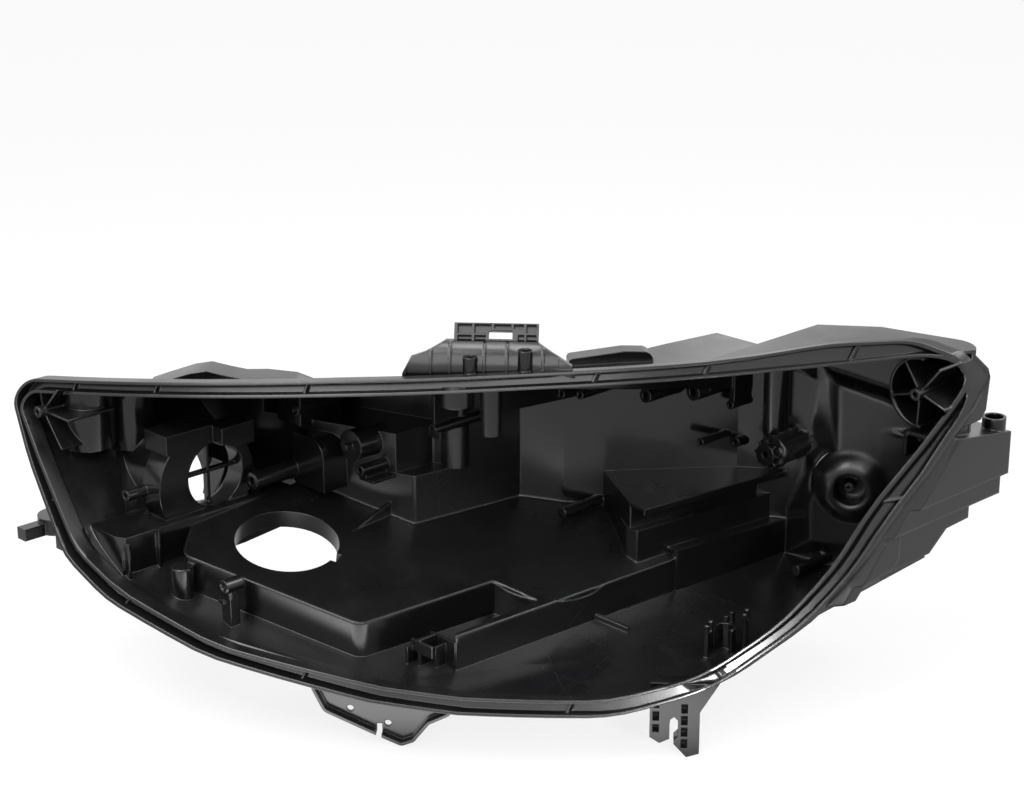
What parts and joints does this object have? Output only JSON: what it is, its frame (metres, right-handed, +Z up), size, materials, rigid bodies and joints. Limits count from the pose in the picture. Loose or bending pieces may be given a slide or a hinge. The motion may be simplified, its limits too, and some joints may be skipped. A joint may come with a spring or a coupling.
{
  "type": "headlamp housing",
  "caption": "Black moulded rear housing of a vehicle headlamp, open at the front, with a sealing channel, screw bosses, lamp port and brackets.",
  "frame": {"origin": "mouth of the inboard vertical fixing bore on the upper bracket", "axes": "+X outboard, +Y rearward along the mould's draw (the lens side and the screw bosses face -Y), +Z up"},
  "size_m": [0.5028, 0.565, 0.2856],
  "materials": {
    "moulded_black": "as moulded, half gloss, scuffed inside"
  },
  "bodies": {
    "root": {"housing": "moulded_black"}
  },
  "joints": []
}
